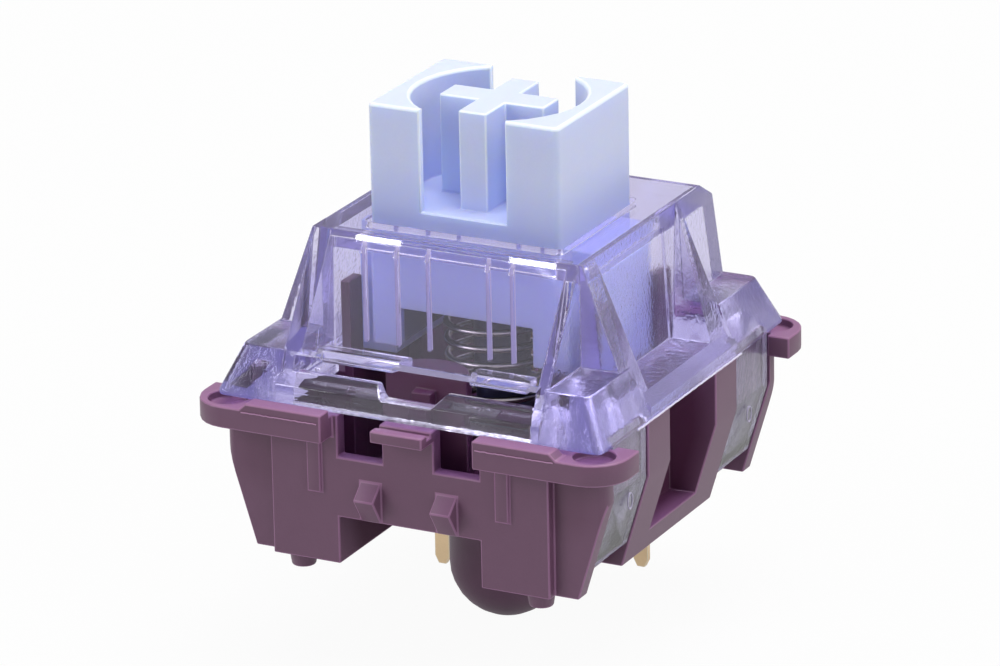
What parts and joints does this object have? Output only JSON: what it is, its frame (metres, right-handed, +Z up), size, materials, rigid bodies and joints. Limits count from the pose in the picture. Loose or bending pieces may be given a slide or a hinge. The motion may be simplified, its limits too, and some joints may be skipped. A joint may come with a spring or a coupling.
{
  "type": "mechanical keyboard switch",
  "caption": "Plate-mount push switch with a cross stem on a return spring, a clear top housing with latch legs and two contact pins below.",
  "frame": {"origin": "foot of the centre post, on the stem's axis", "axes": "+Z up along the stem's travel, -Y towards the sloped front with the light slot, +X to the right"},
  "size_m": [0.0156, 0.0156, 0.0184],
  "materials": {
    "plum_plastic": "fine mould texture",
    "clear_plastic": "polished, clear lavender",
    "pale_plastic": "satin, slightly translucent",
    "spring_steel": "drawn wire",
    "plated_brass": "gold coloured plating",
    "copper_alloy": "rolled sheet",
    "contact_alloy": "polished"
  },
  "bodies": {
    "housing": {"bottom_housing": "plum_plastic", "top_housing": "clear_plastic", "fixed_contact": "plated_brass", "fixed_contact_point": "contact_alloy", "leaf_terminal": "plated_brass", "return_spring": "spring_steel"},
    "slider": {"stem": "pale_plastic"},
    "leaf": {"contact_leaf": "copper_alloy", "leaf_contact_point": "contact_alloy"}
  },
  "joints": [
    {"name": "stem_slide", "type": "slide", "parent": "housing", "child": "slider", "axis": [0, 0, -1], "range_m": [0, 0.0036], "stiffness_N_per_m": 70, "springref_m": -0.005, "deforming": ["return_spring"]},
    {"name": "leaf_swing", "type": "hinge", "parent": "housing", "child": "leaf", "pos_m": [0, 0.00485, 0.0052], "axis": [1, 0, 0], "range_deg": [0, 5.8]}
  ],
  "couplings": [
    {"joint": "leaf_swing", "follows": "stem_slide", "rad_per_m": 27.634}
  ]
}
